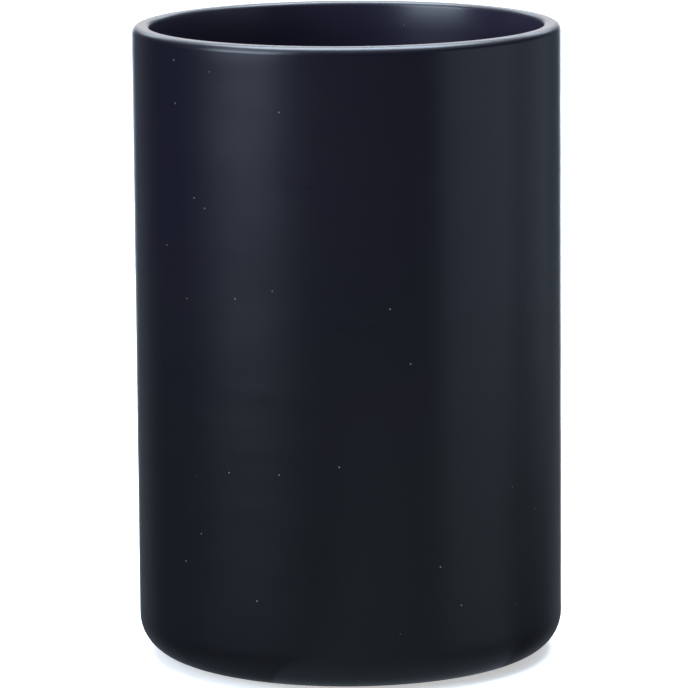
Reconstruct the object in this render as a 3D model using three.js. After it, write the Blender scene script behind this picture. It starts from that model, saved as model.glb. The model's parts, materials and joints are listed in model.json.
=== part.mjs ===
// An empty candle jar: a straight, round stoneware tumbler, open at the top, with a rounded lip,
// a rounded foot corner and a narrow foot ring round a shallow recess.
//
// The jar is one fired piece made of two materials. The clay body is shaped and fired first. A satin
// glaze is then fused over the outside, the lip and the inside, and over the recess under the floor.
// The foot ring is wiped bare so that the jar doesn't stick to the kiln shelf, which leaves two
// separate glazes: the coat and the one in the recess.
//
// Millimetres, +Z up. The origin is on the axis, in the plane that the foot ring stands on.

import * as THREE from "three";

// Overall sizes, over the glaze.
const OUTER_DIAMETER = 80;
const HEIGHT = 119;

// Thicknesses.
const CLAY_WALL = 2.75;
const CLAY_FLOOR = 3.4;
const GLAZE = 0.35;

// The glazed surface. The lip has a narrow flat on top between two rounded edges, and the bore
// flares a little as it nears the lip, on an arc tangent to the bore and to the inner edge.
const LIP_OUTER_RADIUS = 1.45;
const LIP_INNER_RADIUS = 0.9;
const FLARE_RADIUS = 64;
const FLARE_DEGREES = 4.5;
const COVE_RADIUS = 6;
const FOOT_CORNER_RADIUS = 7.1;

// The foot.
const FOOT_STEP = 0.3; // the coat ends this far above the standing plane
const RING_SETBACK = 1.6; // flat of coat between the foot corner and the ring
const RING_WIDTH = 3.5;
const RING_EDGE_RADIUS = 0.3;
const RECESS_DEPTH = 1.6; // from the standing plane up to the glaze in the recess
const RECESS_FILLET_RADIUS = 0.85;

// How finely the round shapes are cut into flats.
const FLATS_ROUND_THE_AXIS = 48;
const FLATS_PER_ARC = 5;

// Worked out from the sizes above.
const OUTER_RADIUS = OUTER_DIAMETER / 2;
const BORE_RADIUS = OUTER_RADIUS - CLAY_WALL - 2 * GLAZE;
const FLOOR_TOP = RECESS_DEPTH + CLAY_FLOOR + 2 * GLAZE;
const RING_OUTER_RADIUS = OUTER_RADIUS - FOOT_CORNER_RADIUS - RING_SETBACK;
const RING_INNER_RADIUS = RING_OUTER_RADIUS - RING_WIDTH;

// A point of an outline, at a radius from the axis and a height above the standing plane.
function point(radius, height) {
  return new THREE.Vector2(radius, height);
}

// An arc of an outline about a centre, from one direction to another in degrees, where 0 points away
// from the axis and 90 points up.
function arc(centre, radius, from, to) {
  const start = THREE.MathUtils.degToRad(from);
  const end = THREE.MathUtils.degToRad(to);
  const clockwise = to < from;
  const curve = new THREE.EllipseCurve(centre.x, centre.y, radius, radius, start, end, clockwise);
  return curve.getPoints(FLATS_PER_ARC);
}

// The lip's inner edge and the flare under it, from the lip's flat down to the straight bore.
function mouth(depth) {
  const flare = THREE.MathUtils.degToRad(FLARE_DEGREES);
  const between = FLARE_RADIUS - LIP_INNER_RADIUS;
  const flareCentre = point(
    BORE_RADIUS + FLARE_RADIUS,
    HEIGHT - LIP_INNER_RADIUS - between * Math.sin(flare),
  );
  const edgeCentre = point(flareCentre.x - between * Math.cos(flare), HEIGHT - LIP_INNER_RADIUS);
  const tangent = 180 - FLARE_DEGREES;
  return [
    ...arc(edgeCentre, LIP_INNER_RADIUS - depth, 90, tangent),
    ...arc(flareCentre, FLARE_RADIUS - depth, tangent, 180).slice(1),
  ];
}

// The coat's outline: from the glaze line beside the foot ring, round the foot corner, up the
// outside, over the lip, down the bore and across the inside floor to the axis. A depth of 0 gives
// the face of the glaze, and a depth of GLAZE gives the face of the clay under it.
function jarSkin(depth) {
  const footCorner = point(OUTER_RADIUS - FOOT_CORNER_RADIUS, FOOT_STEP + FOOT_CORNER_RADIUS);
  const lipOuter = point(OUTER_RADIUS - LIP_OUTER_RADIUS, HEIGHT - LIP_OUTER_RADIUS);
  const cove = point(BORE_RADIUS - COVE_RADIUS, FLOOR_TOP + COVE_RADIUS);
  return [
    point(RING_OUTER_RADIUS, FOOT_STEP + depth),
    ...arc(footCorner, FOOT_CORNER_RADIUS - depth, -90, 0),
    ...arc(lipOuter, LIP_OUTER_RADIUS - depth, 0, 90),
    ...mouth(depth),
    ...arc(cove, COVE_RADIUS + depth, 0, -90),
    point(0, FLOOR_TOP - depth),
  ];
}

// The recess glaze's outline: from the axis, across the recess and round its fillet to the inner
// wall of the foot ring. The depth is as for the coat.
function recessSkin(depth) {
  const filletReach = RECESS_FILLET_RADIUS + GLAZE;
  const fillet = point(RING_INNER_RADIUS - filletReach, RECESS_DEPTH - RECESS_FILLET_RADIUS);
  return [
    point(0, RECESS_DEPTH + depth),
    ...arc(fillet, RECESS_FILLET_RADIUS + depth, 90, 0),
  ];
}

// The bare foot ring's outline: down its inner wall, across its flat and up its outer edge.
function ringSkin() {
  const innerEdge = point(RING_INNER_RADIUS + RING_EDGE_RADIUS, RING_EDGE_RADIUS);
  const outerEdge = point(RING_OUTER_RADIUS - RING_EDGE_RADIUS, RING_EDGE_RADIUS);
  return [
    ...arc(innerEdge, RING_EDGE_RADIUS, -180, -90),
    ...arc(outerEdge, RING_EDGE_RADIUS, -90, 0),
  ];
}

// Turns an outline, which runs with the solid on its left, into a solid about Z. A lathe turns about
// Y, so the result is stood up.
function turned(name, outline, material) {
  const lathe = new THREE.LatheGeometry(outline, FLATS_ROUND_THE_AXIS);
  lathe.rotateX(Math.PI / 2);
  const mesh = new THREE.Mesh(lathe, material);
  mesh.name = name;
  return mesh;
}

// Satin blue-black glaze.
function satinGlaze() {
  return new THREE.MeshStandardMaterial({ color: 0x15151d, roughness: 0.35, metalness: 0 });
}

// Pale, fine-grained stoneware, which shows only on the foot ring.
function bareStoneware() {
  return new THREE.MeshStandardMaterial({ color: 0xb3a797, roughness: 0.9, metalness: 0 });
}

// The clay body: wall, floor and foot ring in one.
function stonewareBody() {
  const outline = [...recessSkin(GLAZE), ...ringSkin(), ...jarSkin(GLAZE)];
  return turned("stoneware_body", outline, bareStoneware());
}

// The coat: one skin of glaze over the outside, the lip, the bore and the inside floor.
function glazeCoat() {
  const outline = [...jarSkin(GLAZE).reverse(), ...jarSkin(0)];
  return turned("glaze_coat", outline, satinGlaze());
}

// The recess glaze: a shallow dish of glaze on the underside of the floor.
function recessGlaze() {
  const outline = [...recessSkin(0), ...recessSkin(GLAZE).reverse()];
  return turned("recess_glaze", outline, satinGlaze());
}

const jar = new THREE.Group();
jar.add(stonewareBody(), glazeCoat(), recessGlaze());

export default jar;
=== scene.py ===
# %% [markdown]
# # An empty candle jar in satin blue-black glaze
#
# This lesson builds a straight stoneware jar, of the kind that candle makers pour wax into. It is one
# fired piece, made of two materials: a pale clay body, and a dark glaze melted over nearly all of it.
# The only bare clay is the narrow ring that the jar stands on.
#
# Everything is in metres, +Z up, with the origin on the axis where the jar meets the table.

# %% Load the frame
import json
import math

import bpy
import numpy as np
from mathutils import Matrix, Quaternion, Vector


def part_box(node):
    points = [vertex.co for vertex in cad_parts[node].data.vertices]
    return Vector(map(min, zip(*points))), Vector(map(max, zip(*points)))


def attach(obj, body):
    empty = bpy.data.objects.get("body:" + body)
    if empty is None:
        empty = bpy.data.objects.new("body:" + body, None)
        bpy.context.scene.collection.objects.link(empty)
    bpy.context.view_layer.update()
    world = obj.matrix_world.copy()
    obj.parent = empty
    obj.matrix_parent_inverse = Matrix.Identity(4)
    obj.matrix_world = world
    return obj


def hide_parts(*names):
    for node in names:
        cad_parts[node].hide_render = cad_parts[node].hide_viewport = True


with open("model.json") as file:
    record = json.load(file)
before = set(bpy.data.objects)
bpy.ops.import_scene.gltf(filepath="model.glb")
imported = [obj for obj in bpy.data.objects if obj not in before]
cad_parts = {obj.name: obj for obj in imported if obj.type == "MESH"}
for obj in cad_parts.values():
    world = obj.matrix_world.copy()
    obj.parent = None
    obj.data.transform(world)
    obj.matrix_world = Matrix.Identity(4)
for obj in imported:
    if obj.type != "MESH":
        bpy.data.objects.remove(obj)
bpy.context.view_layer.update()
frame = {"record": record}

# %% [markdown]
# ## Sizes
#
# The boxes of the packed solids give the sizes that show from outside. The wall, the roundings and
# the foot are repeated here, because a box can't give them.

# %% Sizes
MM = 0.001

coat_low, coat_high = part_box("glaze_coat")
_, clay_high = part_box("stoneware_body")
_, recess_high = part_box("recess_glaze")
mounts = {mount["name"]: Vector(mount["pos_m"]) for mount in frame["record"]["mounts"]}

OUTER_RADIUS = coat_high.x
HEIGHT = coat_high.z
GLAZE_LINE = coat_low.z
GLAZE = coat_high.x - clay_high.x
FLOOR_TOP = mounts["inside_floor"].z
RING_INNER_RADIUS = recess_high.x
WALL = 3.45 * MM
BORE_RADIUS = OUTER_RADIUS - WALL

LIP_OUTER_RADIUS = 1.45 * MM
LIP_INNER_RADIUS = 0.9 * MM
FLARE_RADIUS = 64 * MM
FLARE_DEGREES = 4.5
COVE_RADIUS = 6 * MM
FOOT_CORNER_RADIUS = 7.1 * MM
RING_SETBACK = 1.6 * MM
RING_EDGE_RADIUS = 0.3 * MM
RECESS_DEPTH = 1.6 * MM
RECESS_FILLET_RADIUS = 0.85 * MM
RING_OUTER_RADIUS = OUTER_RADIUS - FOOT_CORNER_RADIUS - RING_SETBACK

print(f"outside {2 * OUTER_RADIUS / MM:.1f} mm across, {HEIGHT / MM:.1f} mm high")
print(f"glaze {GLAZE / MM:.2f} mm thick, bore {2 * BORE_RADIUS / MM:.1f} mm across")

# %% [markdown]
# ## Outlines
#
# A thrown, cast or pressed jar is round, so half of its section says everything about its shape. The
# section is a list of points, each a radius from the axis and a height. Straight stretches need only
# their ends, unless the surface is to ripple between them. Rounded stretches are arcs, sampled finely
# enough that a highlight runs over them without showing a facet.

# %% Outline helpers
ARC_STEPS = 16


def point(radius, height):
    """One point of an outline, as a row of its own."""
    return np.array([[radius, height]])


def ellipse(centre, half_width, half_height, start, end):
    """A stretch of an ellipse: centre + (half width * cos a, half height * sin a), a in degrees."""
    angle = np.radians(np.linspace(start, end, ARC_STEPS + 1))[:, None]
    return np.array(centre) + np.hstack([half_width * np.cos(angle), half_height * np.sin(angle)])


def arc(centre, radius, start, end):
    """A stretch of a circle, which is an ellipse whose half width and half height are its radius."""
    return ellipse(centre, radius, radius, start, end)


def line(start, end, steps):
    """The points strictly between two ends: start + t * (end - start), for t between 0 and 1."""
    t = np.linspace(0, 1, steps + 1)[1:-1, None]
    return np.array(start) + t * (np.array(end) - np.array(start))


print("points in a quarter turn:", len(arc((0, 0), 1, 0, 90)))

# %% [markdown]
# The jar's skin is one outline drawn at a chosen depth under the surface: at depth 0 it is the face of
# the glaze, and at the glaze's thickness it is the face of the clay. The two faces then match all
# round, which keeps the glaze evenly thick. The hidden clay face needs no extra points up the walls.

# %% The jar's outline at a depth under its surface
WALL_STEPS = 48
FLOOR_STEPS = 24


def mouth(depth):
    """The lip's inner edge and the flare under it: two arcs with one tangent where they meet.

    Both centres are on the line that leaves their meeting point square to the surface, so the
    distance between them is the difference of their radii.
    """
    flare = math.radians(FLARE_DEGREES)
    between = FLARE_RADIUS - LIP_INNER_RADIUS
    edge_height = HEIGHT - LIP_INNER_RADIUS
    flare_centre = (BORE_RADIUS + FLARE_RADIUS, edge_height - between * math.sin(flare))
    edge_centre = (flare_centre[0] - between * math.cos(flare), edge_height)
    edge = arc(edge_centre, LIP_INNER_RADIUS - depth, 90, 180 - FLARE_DEGREES)
    return np.vstack([edge, arc(flare_centre, FLARE_RADIUS - depth, 180 - FLARE_DEGREES, 180)[1:]])


def jar_skin(depth, wall_steps=1, floor_steps=1):
    """From the glaze line, round the foot corner, up, over the lip, down the bore and to the axis."""
    foot_corner = (OUTER_RADIUS - FOOT_CORNER_RADIUS, GLAZE_LINE + FOOT_CORNER_RADIUS)
    lip_outer = (OUTER_RADIUS - LIP_OUTER_RADIUS, HEIGHT - LIP_OUTER_RADIUS)
    cove = (BORE_RADIUS - COVE_RADIUS, FLOOR_TOP + COVE_RADIUS)
    foot = arc(foot_corner, FOOT_CORNER_RADIUS - depth, -90, 0)
    shoulder = arc(lip_outer, LIP_OUTER_RADIUS - depth, 0, 90)
    lip = mouth(depth)
    bend = arc(cove, COVE_RADIUS + depth, 0, -90)
    middle = (0, FLOOR_TOP - depth)
    outside = line(foot[-1], shoulder[0], wall_steps)
    bore = line(lip[-1], bend[0], wall_steps)
    floor = line(bend[-1], middle, floor_steps)
    return np.vstack([foot, outside, shoulder, lip, bore, bend, floor, point(*middle)])


print("points on the glaze face:", len(jar_skin(0, WALL_STEPS, FLOOR_STEPS)))
print("points on the clay face:", len(jar_skin(GLAZE)))

# %% [markdown]
# The potter wipes the foot ring bare before the firing, or the melting glaze would weld the jar to the
# kiln shelf. Each glaze ends beside the ring in a rounded edge, as a liquid does where it stops on a
# dry surface, so the ends are quarter ellipses and not square cuts.

# %% The recess, the foot ring and the edges of the glaze
GLAZE_EDGE_WIDTH = 0.6 * MM
RECESS_EDGE_DROP = 0.3 * MM
RING_STEPS = 8


def recess_skin(depth):
    """From the axis across the recess and round its fillet to the inner wall of the foot ring."""
    reach = RECESS_FILLET_RADIUS + GLAZE
    fillet = (RING_INNER_RADIUS - reach, RECESS_DEPTH - RECESS_FILLET_RADIUS)
    bend = arc(fillet, RECESS_FILLET_RADIUS + depth, 90, 0)
    middle = (0, RECESS_DEPTH + depth)
    return np.vstack([point(*middle), line(middle, bend[0], FLOOR_STEPS), bend])


def ring_skin():
    """Down the inner wall of the foot ring, across its flat and up its outer edge to the glaze."""
    inner = (RING_INNER_RADIUS + RING_EDGE_RADIUS, RING_EDGE_RADIUS)
    outer = (RING_OUTER_RADIUS - RING_EDGE_RADIUS, RING_EDGE_RADIUS)
    rise = arc(inner, RING_EDGE_RADIUS, -180, -90)
    fall = arc(outer, RING_EDGE_RADIUS, -90, 0)
    return np.vstack([rise, line(rise[-1], fall[0], RING_STEPS), fall])


def coat_edge():
    """The outside glaze's rounded end: from the ring's wall down and out to the glaze line."""
    centre = (RING_OUTER_RADIUS + GLAZE_EDGE_WIDTH, GLAZE_LINE + GLAZE)
    return ellipse(centre, GLAZE_EDGE_WIDTH, GLAZE, 180, 270)


def recess_edge():
    """The recess glaze's rounded end: down the ring's inner wall and back to it."""
    centre = (RING_INNER_RADIUS, RECESS_DEPTH - RECESS_FILLET_RADIUS)
    return ellipse(centre, GLAZE, RECESS_EDGE_DROP, 180, 270)


print("points across the foot ring:", len(ring_skin()))

# %% [markdown]
# ## Turning an outline into a surface
#
# Blender can spin a curve with a modifier, but a grid worked out with numpy gives control over every
# ring of vertices, and closes the seam and the poles without duplicates. Rows of the grid are the
# outline's points and columns are the sectors round the axis. A point on the axis makes a whole row
# meet in one vertex.
#
# A clay wall is never quite true: it swells and sinks slowly by a few hundredths of a millimetre.
# That is far too little to see in the outline, but it makes a highlight wander as it does on a real
# jar, so the swells are real shape here. They only go inwards, so the jar keeps its full size.

# %% Surface of revolution
SECTORS = 256
SWELL_DEPTH = 0.045 * MM
SWELL_LENGTH = 31 * MM


def swell(radius, height, angle):
    """How far the outer wall lies inside its true radius, from 0 to the depth of a swell.

    Two waves climb the wall as slanted bands and a third makes five upright ones, and the depth is
    multiplied by half of (1 - the mean of the three cosines). It fades to 0 over the width of the
    lip's shoulder, so the lip, the bore and the base stay true.
    """
    climb = 2 * np.pi * height / SWELL_LENGTH
    waves = np.cos(3 * angle + climb) + np.cos(2 * angle - 1.7 * climb + 1) + np.cos(5 * angle + 2)
    outward = np.clip((radius - OUTER_RADIUS) / LIP_OUTER_RADIUS + 1, 0, 1)
    return outward * SWELL_DEPTH * (1 - waves / 3) / 2


def faces_round(rings):
    """The faces of a number of rings, whose vertices come ring by ring and are followed by two poles.

    Vertex s of ring r is number r * SECTORS + s. Each is joined to the next one round and to the
    two above them by a quad, and the first and last rings to their poles by fans of triangles.
    """
    row = np.arange(rings - 1)[:, None] * SECTORS
    here = np.arange(SECTORS)
    after = (here + 1) % SECTORS
    corners = [row + here, row + after, row + SECTORS + after, row + SECTORS + here]
    quads = np.stack(corners, axis=-1).reshape(-1, 4)

    first_pole = np.full(SECTORS, rings * SECTORS)
    last_row = (rings - 1) * SECTORS
    first_fan = np.stack([first_pole, after, here], axis=-1)
    last_fan = np.stack([first_pole + 1, last_row + here, last_row + after], axis=-1)
    return [*quads.tolist(), *first_fan.tolist(), *last_fan.tolist()]


def turned(name, outline):
    """A closed solid of revolution from an outline that starts and ends on the axis.

    The vertex at radius r, height z and sector angle a is (r cos a, r sin a, z), after r is made
    less by the swell there.
    """
    rings = outline[1:-1]
    angle = np.linspace(0, 2 * np.pi, SECTORS, endpoint=False)
    radius, z = (np.repeat(column[:, None], SECTORS, axis=1) for column in rings.T)
    radius = radius - swell(radius, z, angle)
    grid = np.stack([radius * np.cos(angle), radius * np.sin(angle), z], axis=-1).reshape(-1, 3)
    poles = np.array([[0, 0, outline[0, 1]], [0, 0, outline[-1, 1]]])
    faces = faces_round(len(rings))

    mesh = bpy.data.meshes.new(name)
    mesh.from_pydata(np.vstack([grid, poles]), [], faces)
    mesh.shade_smooth()
    piece = bpy.data.objects.new(name, mesh)
    bpy.context.scene.collection.objects.link(piece)
    print(name, "triangles:", sum(len(face) - 2 for face in faces))
    return piece


# %% [markdown]
# ## The three pieces
#
# The clay body is the whole section, from the recess under the jar round to the floor inside it. The
# coat is a thin shell between the glaze face and the clay face. The recess has a glaze of its own,
# because the bare foot ring parts the two.

# %% Make the pieces
clay_face = jar_skin(GLAZE)
glaze_face = jar_skin(0, WALL_STEPS, FLOOR_STEPS)

clay = turned("clay", np.vstack([recess_skin(GLAZE), ring_skin(), clay_face]))
coat = turned("coat", np.vstack([clay_face[::-1], coat_edge(), glaze_face]))
recess = turned("recess", np.vstack([recess_skin(0), recess_edge(), recess_skin(GLAZE)[::-1]]))

for piece, node, slot in (
    (clay, "stoneware_body", "bare_stoneware"),
    (coat, "glaze_coat", "satin_glaze"),
    (recess, "recess_glaze", "satin_glaze"),
):
    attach(piece, "root")
    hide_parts(node)

# %% [markdown]
# ## Writing shader maths as Python
#
# A material is a graph of nodes, and building one by hand takes many lines. A small class that wraps
# an output socket lets ordinary arithmetic add the Math nodes, so that a pattern reads as a formula.


# %% The socket class
class Wire:
    """An output socket of a node tree. Arithmetic on it adds Math nodes."""

    def __init__(self, socket):
        self.socket = socket

    @staticmethod
    def node(tree, kind, settings=None, inputs=None, output=0):
        """Adds a node, makes its settings, then fills or links its inputs, and returns one output."""
        made = tree.nodes.new(kind)
        for name, value in (settings or {}).items():
            setattr(made, name, value)
        for name, value in (inputs or {}).items():
            if isinstance(value, Wire):
                tree.links.new(value.socket, made.inputs[name])
            else:
                made.inputs[name].default_value = value
        return Wire(made.outputs[output])

    def then(self, kind, settings=None, inputs=None, output=0):
        """Adds a node of the same tree as this socket."""
        return Wire.node(self.socket.id_data, kind, settings, inputs, output)

    def maths(self, operation, other):
        """A Math node on this value and another."""
        return self.then("ShaderNodeMath", {"operation": operation}, {0: self, 1: other})

    def __add__(self, other):
        return self.maths("ADD", other)

    def __sub__(self, other):
        return self.maths("SUBTRACT", other)

    def __rsub__(self, other):
        return self * -1 + other

    def __mul__(self, other):
        return self.maths("MULTIPLY", other)

    __radd__ = __add__
    __rmul__ = __mul__

    def rise(self, low, high):
        """0 below low, 1 above high and an S-shaped ramp between them."""
        settings = {"interpolation_type": "SMOOTHSTEP"}
        inputs = {"Value": self, "From Min": low, "From Max": high}
        return self.then("ShaderNodeMapRange", settings, inputs)

    def scaled(self, factors):
        """A vector with its X, Y and Z each multiplied by a factor, which stretches a pattern."""
        return self.then("ShaderNodeVectorMath", {"operation": "MULTIPLY"}, {0: self, 1: factors})

    def part(self, axis):
        """The X, Y or Z of a vector."""
        return self.then("ShaderNodeSeparateXYZ", None, {"Vector": self}, axis)

    def from_axis(self):
        """How far a place is from the jar's axis: the length of (x, y, 0)."""
        flat = self.scaled((1, 1, 0))
        return flat.then("ShaderNodeVectorMath", {"operation": "LENGTH"}, {0: flat}, "Value")

    def mix(self, first, second):
        """The first colour where this is 0 and the second where it is 1."""
        # A Mix node has a set of sockets for each type, and 0, 6, 7 and 2 are those for colours.
        return self.then("ShaderNodeMix", {"data_type": "RGBA"}, {0: self, 6: first, 7: second}, 2)


print("a wire can be used by:", [name for name in vars(Wire) if not name.startswith("_")])

# %% [markdown]
# ## Patterns
#
# Both finishes are built from two random patterns. Clouds are soft and are everywhere, and spots are
# small, round and rare. The patterns are worked out in space and not on a flat sheet, so they need no
# seam, and a pattern that is cut by a curved wall isn't stretched by it.


# %% Patterns that the finishes share
def clouds(place, size, detail=2.0):
    """Soft random values round 0.5, in blobs about size metres across."""
    inputs = {"Vector": place, "Scale": 1 / size, "Detail": detail}
    return place.then("ShaderNodeTexNoise", None, inputs, "Fac")


def spots(place, spacing, radius):
    """1 in small round spots and 0 elsewhere.

    Random points lie about a spacing apart in space. Where one is nearer to the surface than the
    radius, the surface cuts its ball in a spot, so the spots are rare and of every smaller size.
    The pattern's distances are shares of the spacing, and the edge of a spot is soft.
    """
    inputs = {"Vector": place, "Scale": 1 / spacing}
    distance = place.then("ShaderNodeTexVoronoi", None, inputs, "Distance")
    edge = radius / spacing
    return 1 - distance.rise(0.6 * edge, edge)


def colour(red, green, blue):
    """An opaque colour, from linear red, green and blue."""
    return (red, green, blue, 1.0)


def new_material(name):
    """An empty node material, with its Principled shader and its object coordinates."""
    material = bpy.data.materials.new(name)
    material.use_nodes = True
    shader = material.node_tree.nodes["Principled BSDF"]
    place = Wire.node(material.node_tree, "ShaderNodeTexCoord", output="Object")
    return material, shader, place


def finish(shader, base, roughness, relief_mm):
    """Feeds a Principled shader with its colour, its roughness and a relief given in millimetres."""
    bump = relief_mm.then("ShaderNodeBump", None, {"Height": relief_mm, "Distance": MM}, "Normal")
    for name, wire in (("Base Color", base), ("Roughness", roughness), ("Normal", bump)):
        shader.id_data.links.new(wire.socket, shader.inputs[name])


print("a colour is red, green, blue and opacity, such as white:", colour(1.0, 1.0, 1.0))

# %% [markdown]
# ## Satin glaze
#
# The glaze is almost black. Low on the wall it is a near-neutral ink, and towards the top its colour
# is painted a lighter blue-violet, a painted reflection of the bluish room light there. A satin
# surface is glass full of tiny crystals, so it mirrors softly: one roughness does that, made uneven by
# slow clouds and by level streaks, which a spray gun leaves as the jar turns before it. The inside is
# painted paler and milkier, painted light for the light that falls into the bore. On top of the lip
# the melt pulls back and thins to a warm brown line, which potters call breaking. It pools in the cove
# round the inside floor, where it stays glossier and bluer.
#
# The relief has three sizes: the faint orange-peel of a sprayed glaze, pinholes left by gas bubbles,
# and a few pale crumbs of kiln dust or unmelted glaze, which stand up a little.


# %% Where the glaze differs
BREAKING_DEPTH = 0.6 * MM


def inside_mask(place):
    """1 on the bore and the inside floor and 0 outside, with a soft change over the lip."""
    within = 1 - place.from_axis().rise(BORE_RADIUS + 0.4 * MM, BORE_RADIUS + 1.2 * MM)
    return within * place.part("Z").rise(0.5 * FLOOR_TOP, 0.9 * FLOOR_TOP)


def pool_mask(place):
    """1 on the inside floor, fading to 0 up the cove."""
    return inside_mask(place) * (1 - place.part("Z").rise(FLOOR_TOP, FLOOR_TOP + 0.8 * COVE_RADIUS))


def breaking_mask(place):
    """Up to 1 on top of the lip, with a ragged lower edge."""
    ragged = place.part("Z") + 0.5 * MM * clouds(place, 1.6 * MM, 3.0)
    return ragged.rise(HEIGHT - BREAKING_DEPTH, HEIGHT + 0.5 * BREAKING_DEPTH)


print("the glaze breaks above", round((HEIGHT - BREAKING_DEPTH) / MM, 1), "mm")


# %% Satin glaze
# The violet for high on the wall is painted light, a painted reflection of the bluish room light up
# there; the ink is the glaze's own near-black.
PAINTED_LIGHT_VIOLET = colour(0.0037, 0.0027, 0.0078)
INK = colour(0.0031, 0.0032, 0.0044)
# The pale milky colour inside is painted light: it lights the bore in place of a lamp.
PAINTED_BORE_LIGHT = colour(0.0180, 0.0145, 0.0285)
POOLED_BLUE = colour(0.0060, 0.0065, 0.0160)
BROKEN_BROWN = colour(0.034, 0.026, 0.021)
CRUMB_GREY = colour(0.115, 0.115, 0.11)


def glaze_colour(place, crumbs):
    """Ink low, painted-light violet high up, painted light inside, then the pool, the breaking lip and
    the crumbs.
    """
    drift = clouds(place, 22 * MM)
    # Painted light: towards the top the wall is painted from ink to a lighter violet, for the bluish
    # room light it mirrors.
    painted_light_rise = (place.part("Z") + 20 * MM * drift).rise(40 * MM, 110 * MM)
    mottle = clouds(place, 2.5 * MM, 3.0)
    body = (painted_light_rise * (0.8 + 0.4 * mottle)).mix(INK, PAINTED_LIGHT_VIOLET)
    # Painted light: the inside is painted paler, for the light that falls into the bore.
    with_painted_bore_light = inside_mask(place).mix(body, PAINTED_BORE_LIGHT)
    pooled = pool_mask(place).mix(with_painted_bore_light, POOLED_BLUE)
    broken = breaking_mask(place).mix(pooled, BROKEN_BROWN)
    return crumbs.mix(broken, CRUMB_GREY)


def glaze_roughness(place, crumbs):
    """Satin all over, drier in clouds and streaks, on crumbs and on the lip, glossier in the pool."""
    sheen = clouds(place, 9 * MM, 4.0)
    streaks = clouds(place.scaled((0.1, 0.1, 1)), 2.6 * MM, 4.0)
    uneven = 0.235 + 0.05 * sheen + 0.06 * streaks
    return uneven + 0.12 * crumbs + 0.03 * breaking_mask(place) - 0.07 * pool_mask(place)


def satin_glaze(name):
    """Blue-black satin with orange peel, pinholes and crumbs."""
    material, shader, place = new_material(name)
    crumbs = spots(place, 4.6 * MM, 0.17 * MM)
    pinholes = spots(place, 3.7 * MM, 0.11 * MM)
    peel = 0.007 * clouds(place, 1.5 * MM, 1.0) + 0.0012 * clouds(place, 0.3 * MM)
    relief = peel + 0.03 * crumbs - 0.03 * pinholes
    finish(shader, glaze_colour(place, crumbs), glaze_roughness(place, crumbs), relief)
    shader.inputs["IOR"].default_value = 1.5
    return material


glaze = satin_glaze("satin_glaze")
for piece in (coat, recess):
    piece.data.materials.append(glaze)
print("nodes in the glaze:", len(glaze.node_tree.nodes))

# %% [markdown]
# ## Bare stoneware
#
# The foot ring shows the fired clay itself. It is a warm oatmeal with a sandy grain, darkened by flecks
# of iron that bled out in the firing. Beside the glaze the clay flushes to a toasted orange, because
# vapour from the glaze settles there. The ring's flat was rubbed smooth, so its high grains are paler.


# %% Bare stoneware
DEEP_OATMEAL = colour(0.30, 0.235, 0.165)
PALE_OATMEAL = colour(0.56, 0.49, 0.40)
TOASTED_ORANGE = colour(0.36, 0.17, 0.075)
IRON_BROWN = colour(0.045, 0.028, 0.018)


def bare_stoneware(name):
    """Oatmeal clay: sandy grain, iron flecks, and a flush near the glaze at both sides of the ring."""
    material, shader, place = new_material(name)
    grain = clouds(place, 0.35 * MM, 4.0)
    patches = clouds(place, 5 * MM)
    clay_colour = (0.6 * grain + 0.4 * patches).mix(DEEP_OATMEAL, PALE_OATMEAL)

    above_ring = place.part("Z") + 0.25 * MM * patches
    flush = above_ring.rise(0, GLAZE_LINE + GLAZE)
    toasted = (0.6 * flush).mix(clay_colour, TOASTED_ORANGE)

    flecks = spots(place, 1.3 * MM, 0.2 * MM)
    base = (0.85 * flecks).mix(toasted, IRON_BROWN)

    roughness = 0.72 + 0.2 * grain - 0.2 * flecks
    sand = 0.05 * grain + 0.02 * clouds(place, 1.2 * MM)
    finish(shader, base, roughness, sand - 0.04 * flecks)
    shader.inputs["IOR"].default_value = 1.45
    return material


stoneware = bare_stoneware("bare_stoneware")
clay.data.materials.append(stoneware)
print("nodes in the stoneware:", len(stoneware.node_tree.nodes))

# %% [markdown]
# ## The floor
#
# The jar stands on a plain white sheet, wide enough to reach past the edge of every view. It glows
# faintly, which keeps the shadow at the jar's foot pale. A dark gloss mirrors everything round it, and
# a mirrored white floor would wash out the lower half of the jar. So the floor takes light and shadow,
# but it is left out of what gloss mirrors.

# %% Floor
FLOOR_REACH = 12.0
FLOOR_GLOW = 0.5

floor_corners = [(-1, -1), (1, -1), (1, 1), (-1, 1)]
floor_mesh = bpy.data.meshes.new("floor")
floor_points = [(FLOOR_REACH * x, FLOOR_REACH * y, 0) for x, y in floor_corners]
floor_mesh.from_pydata(floor_points, [], [(0, 1, 2, 3)])
floor = bpy.data.objects.new("floor", floor_mesh)
bpy.context.scene.collection.objects.link(floor)

floor_material, floor_shader, _ = new_material("white_sheet")
floor_shader.inputs["Base Color"].default_value = colour(0.9, 0.9, 0.9)
floor_shader.inputs["Roughness"].default_value = 1.0
floor_shader.inputs["Specular IOR Level"].default_value = 0.0
floor_shader.inputs["Emission Color"].default_value = colour(1.0, 1.0, 1.0)
floor_shader.inputs["Emission Strength"].default_value = FLOOR_GLOW
floor.data.materials.append(floor_material)
floor.visible_glossy = False
print("floor:", 2 * FLOOR_REACH, "m across")

# %% [markdown]
# ## Light
#
# A black jar shows its shape by what it mirrors, so each lamp is placed for the mark it leaves. A
# softbox on the left draws the long highlight on the left of the wall, and the small bright one
# inside the mouth, and a weaker one above it carries the highlight up to the lip. Two weak ones on
# the right give the broad sheen there. The bank overhead and a little behind lights the lip, and a
# long low bank behind carries that light round to the lip's two ends. The last one lies on the table
# in front and to the right, facing up, and lifts the lowest part of the wall.
#
# A direction's azimuth is 0 on the camera's side of the jar and 90 to its right.

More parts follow.
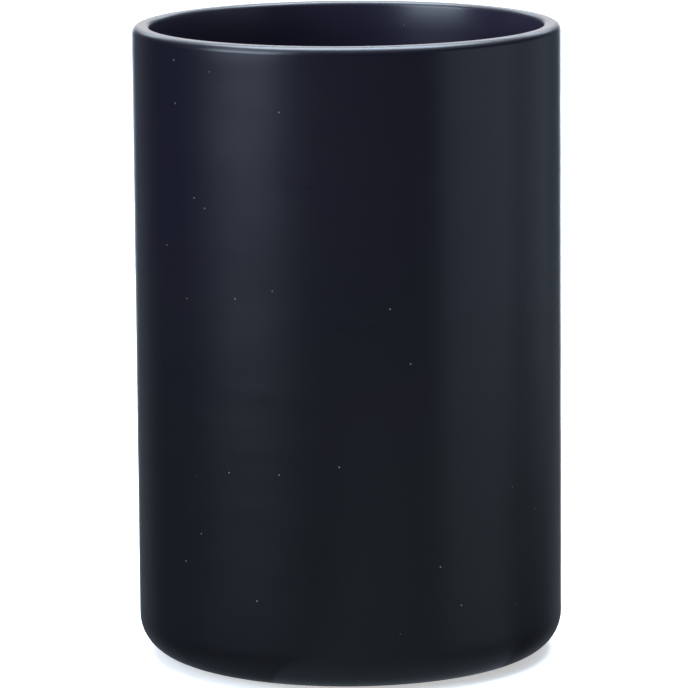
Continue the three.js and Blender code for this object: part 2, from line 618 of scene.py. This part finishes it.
# %% Lamps
LAMP_DISTANCE = 1.2
GLOW_DISTANCE = 0.22
GLOW_AZIMUTH = 38
GLOW_SIZE = 0.3
DAYLIGHT = (0.84, 1.0, 1.2)


def direction(azimuth, elevation):
    """The unit vector (sin a cos e, -cos a cos e, sin e) towards azimuth a and elevation e."""
    a = math.radians(azimuth)
    e = math.radians(elevation)
    return Vector((math.sin(a) * math.cos(e), -math.cos(a) * math.cos(e), math.sin(e)))


def lamp(name, place, back, width, height, radiance):
    """A rectangular lamp at a place, whose back points along a unit vector.

    A flat lamp of radiance L sends out pi * L watts for each square metre of its face.
    """
    light = bpy.data.lights.new(name, "AREA")
    light.shape = "RECTANGLE"
    light.size = width
    light.size_y = height
    light.energy = math.pi * radiance * width * height
    light.color = DAYLIGHT
    stand = bpy.data.objects.new(name, light)
    stand.location = place
    stand.rotation_mode = "QUATERNION"
    stand.rotation_quaternion = back.to_track_quat("Z", "Y")
    stand.visible_camera = False
    bpy.context.scene.collection.objects.link(stand)


def softbox(name, azimuth, elevation, width, height, radiance):
    """A lamp on a stand, which faces the middle of the jar."""
    away = direction(azimuth, elevation)
    lamp(name, Vector((0, 0, HEIGHT / 2)) + LAMP_DISTANCE * away, away, width, height, radiance)


softbox("left_softbox", azimuth=-56, elevation=15, width=0.8, height=0.5, radiance=7.0)
softbox("left_upper", azimuth=-57, elevation=38, width=0.8, height=0.45, radiance=2.6)
softbox("right_softbox", azimuth=73, elevation=0, width=1.0, height=0.5, radiance=0.56)
softbox("right_far", azimuth=114, elevation=0, width=0.9, height=0.5, radiance=0.27)
softbox("overhead_bank", azimuth=180, elevation=78, width=1.3, height=0.8, radiance=11.5)
softbox("rear_bank", azimuth=180, elevation=30, width=1.4, height=0.3, radiance=3.4)

glow_place = GLOW_DISTANCE * direction(GLOW_AZIMUTH, 0) + Vector((0, 0, MM))
lamp("table_glow", glow_place, Vector((0, 0, -1)), width=GLOW_SIZE, height=GLOW_SIZE, radiance=0.11)

# %% [markdown]
# The room gives what no lamp does. Straight behind the jar is a backdrop: a bright sweep below the
# horizon, which the wall mirrors in a thin line along each side, and a dimmer, slightly warm wall
# above it, which the ends of the lip mirror. A faint halo surrounds the backdrop. A pale ceiling keeps
# the white sheet white far from the lamps, and there is a faint glow from the camera's side and from
# underneath. The rest of the room is nearly dark, which is what keeps the jar black.
#
# The world's own coordinates are directions, so each light here is a range of directions: Y is 1
# straight behind the jar and -1 on the camera's side, and Z is 0 at the horizon.

# %% The room
BACK_WALL_LIGHT = 1.6
SWEEP_LIGHT = 4.4
BACK_HALO_LIGHT = 0.12
CAMERA_SIDE_LIGHT = 0.05
CEILING_LIGHT = 0.8
UNDERNEATH_LIGHT = 0.1
DARK_ROOM_LIGHT = 0.045
WARM_WALL = (1.0, 0.93, 0.92)

room = bpy.data.worlds.new("room")
bpy.context.scene.world = room
room.use_nodes = True
facing = Wire.node(room.node_tree, "ShaderNodeTexCoord", output="Generated")
backwards = facing.part("Y")
upwards = facing.part("Z")

sweep = SWEEP_LIGHT * (1 - upwards.rise(-0.12, 0.1))
backdrop = (sweep + BACK_WALL_LIGHT) * backwards.rise(0.95, 0.985)
halo = BACK_HALO_LIGHT * backwards.rise(0.55, 0.9)
camera_side = CAMERA_SIDE_LIGHT * (1 - backwards.rise(-0.98, -0.6))
ceiling = CEILING_LIGHT * upwards.rise(0.4, 0.9)
underneath = UNDERNEATH_LIGHT * (1 - upwards.rise(-0.85, -0.45))
brightness = DARK_ROOM_LIGHT + backdrop + halo + camera_side + ceiling + underneath

above_horizon = upwards.rise(-0.05, 0.12) * (1 - upwards.rise(0.45, 0.7))
back_wall = backwards.rise(0.9, 0.985) * above_horizon
tint = back_wall.mix(colour(*DAYLIGHT), colour(*WARM_WALL))

room_light = room.node_tree.nodes["Background"]
room.node_tree.links.new(brightness.socket, room_light.inputs["Strength"])
room.node_tree.links.new(tint.socket, room_light.inputs["Color"])
print("nodes in the room:", len(room.node_tree.nodes))

# %% [markdown]
# ## Camera
#
# A long lens from about a metre away looks down on the jar by ten degrees, and is turned a little in
# its own plane. The picture is square, and the jar nearly fills it from top to bottom.

# %% Camera
SENSOR = 36.0
LENS = 269.3
CAMERA_ELEVATION = 10.01
CAMERA_DISTANCE = 24.22 * OUTER_RADIUS
CAMERA_ROLL = -0.446
AIM_OFFSET = -0.0221 * OUTER_RADIUS
AIM_HEIGHT = GLAZE_LINE + 1.4492 * OUTER_RADIUS

camera_data = bpy.data.cameras.new("camera")
camera_data.sensor_width = SENSOR
camera_data.lens = LENS
camera = bpy.data.objects.new("camera", camera_data)
away = direction(0, CAMERA_ELEVATION)
camera.location = Vector((AIM_OFFSET, 0, AIM_HEIGHT)) + CAMERA_DISTANCE * away
camera.rotation_mode = "QUATERNION"
roll = Quaternion((0, 0, 1), math.radians(CAMERA_ROLL))
camera.rotation_quaternion = away.to_track_quat("Z", "Y") @ roll
bpy.context.scene.collection.objects.link(camera)
bpy.context.scene.camera = camera
bpy.context.scene.view_settings.view_transform = "Standard"
print("camera at", [round(value, 3) for value in camera.location])

# %% [markdown]
